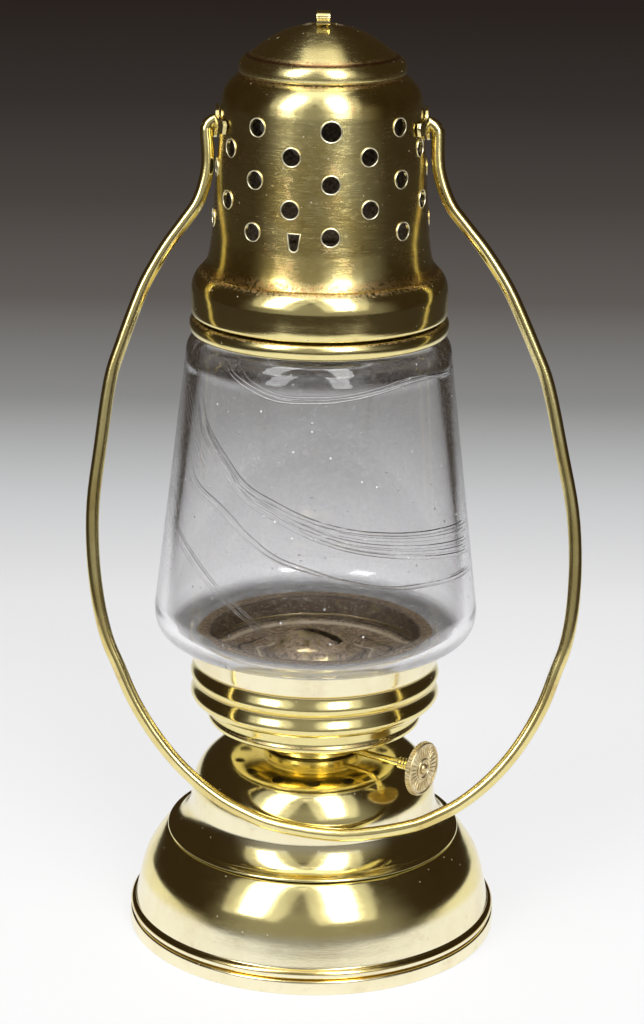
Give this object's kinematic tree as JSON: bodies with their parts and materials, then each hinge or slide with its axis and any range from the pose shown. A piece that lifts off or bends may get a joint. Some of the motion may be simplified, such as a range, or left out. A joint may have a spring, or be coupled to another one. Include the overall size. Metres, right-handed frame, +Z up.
{
  "type": "hurricane lamp",
  "caption": "Small brass hand lantern with a bell foot, domed font, side wick winder, tapered clear globe, perforated chimney cap and a hooked wire bail.",
  "frame": {"origin": "centre of the foot's flat underside, on the surface that the lamp stands on", "axes": "+Z up along the lamp's axis, -Y towards the viewer and the hanging bail, +X to the viewer's right, the winder's side"},
  "size_m": [0.0934, 0.0726, 0.1811],
  "materials": {
    "polished_brass": "polished, with soft wear",
    "sooty_brass": "darkened by soot",
    "clear_glass": "clear, faintly violet, with cords and seeds",
    "plaster": "matt, chalky",
    "wick_cotton": "off-white woven cotton"
  },
  "bodies": {
    "base": {"foot_shell": "polished_brass", "base_plate": "polished_brass", "font_dome": "polished_brass", "font_collar": "polished_brass"},
    "burner": {"burner_body": "polished_brass", "gallery_cup": "polished_brass", "burner_deck": "sooty_brass", "burner_cone": "sooty_brass", "wick_tube": "sooty_brass"},
    "winder": {"winder_shaft": "polished_brass", "wick_sprocket_inner": "polished_brass", "wick_sprocket_outer": "polished_brass", "thumbwheel": "polished_brass", "thumbwheel_hub": "polished_brass"},
    "wick": {"wick": "wick_cotton"},
    "globe": {"glass_globe": "clear_glass", "lower_globe_collar": "polished_brass", "upper_globe_ring": "polished_brass", "lower_plaster": "plaster", "upper_plaster": "plaster"},
    "cap": {"chimney_band": "polished_brass", "chimney_wall": "polished_brass", "dome_cap": "polished_brass", "top_loop": "polished_brass", "bail_ear_left": "polished_brass", "bail_ear_right": "polished_brass"},
    "bail": {"bail_wire": "polished_brass"}
  },
  "joints": [
    {"name": "burner_lift", "type": "slide", "parent": "base", "child": "burner", "axis": [0, 0, 1], "range_m": [0, 0.012]},
    {"name": "globe_lift", "type": "slide", "parent": "burner", "child": "globe", "axis": [0, 0, 1], "range_m": [0, 0.012]},
    {"name": "cap_lift", "type": "slide", "parent": "globe", "child": "cap", "axis": [0, 0, 1], "range_m": [0, 0.012]},
    {"name": "bail_swing", "type": "hinge", "parent": "cap", "child": "bail", "pos_m": [0, 0, 0.16], "axis": [-1, 0, 0], "range_deg": [0, 338.16]},
    {"name": "wick_raise", "type": "slide", "parent": "burner", "child": "wick", "axis": [0, 0, 1], "range_m": [-0.0036, 0.006]},
    {"name": "winder_turn", "type": "hinge", "parent": "burner", "child": "winder", "pos_m": [-0.00168, -0.00249, 0.0389], "axis": [0.829, -0.5592, 0], "range_deg": [-92, 152]}
  ],
  "couplings": [
    {"joint": "winder_turn", "follows": "wick_raise", "rad_per_m": 434.78}
  ]
}
